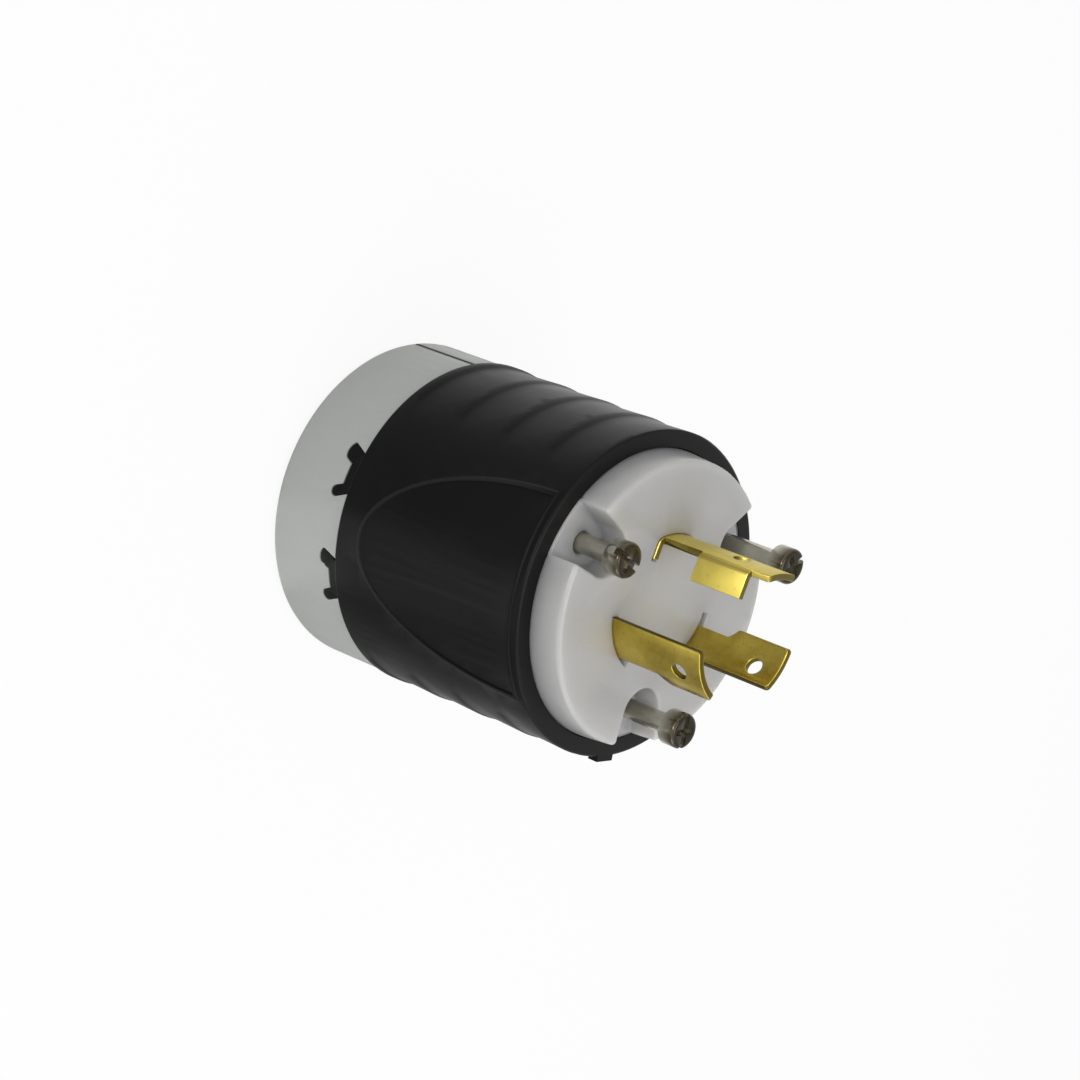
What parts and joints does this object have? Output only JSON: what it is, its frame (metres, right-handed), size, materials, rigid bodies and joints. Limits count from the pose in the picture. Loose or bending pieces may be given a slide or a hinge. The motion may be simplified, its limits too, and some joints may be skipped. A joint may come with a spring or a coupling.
{
  "type": "twist-lock plug",
  "caption": "Round twist-lock electrical plug with hooked brass blades, a white face, a black grip shell with finger scoops and a split cord clamp at the rear.",
  "frame": {"origin": "centre of the rear face, on the plug's axis", "axes": "+Z along the plug's axis, from the cord end to the blades; +Y towards the ground blade; -X towards the fixed clamp half"},
  "size_m": [0.0574, 0.0572, 0.0865],
  "materials": {
    "black_nylon": "satin moulded nylon",
    "white_nylon": "satin moulded nylon, off-white",
    "brass": "stamped, semi-bright",
    "nickel": "nickel plated steel",
    "rubber": "moulded rubber"
  },
  "bodies": {
    "root": {"grip_shell": "black_nylon", "clamp_fixed_half": "white_nylon", "clamp_moving_half": "white_nylon", "cord_grommet": "rubber", "clamp_screw_upper": "nickel", "clamp_screw_lower": "nickel", "clamp_nut_upper": "nickel", "clamp_nut_lower": "nickel", "front_housing": "white_nylon", "blade_retainer": "white_nylon", "neutral_blade": "brass", "line_blade": "brass", "ground_blade": "brass", "neutral_terminal_screw": "nickel", "line_terminal_screw": "nickel", "ground_terminal_screw": "nickel", "neutral_pressure_plate": "brass", "line_pressure_plate": "brass", "ground_pressure_plate": "brass", "assembly_screw_1": "nickel", "assembly_screw_2": "nickel", "assembly_screw_3": "nickel", "threaded_insert_1": "brass", "threaded_insert_2": "brass", "threaded_insert_3": "brass"}
  },
  "joints": []
}
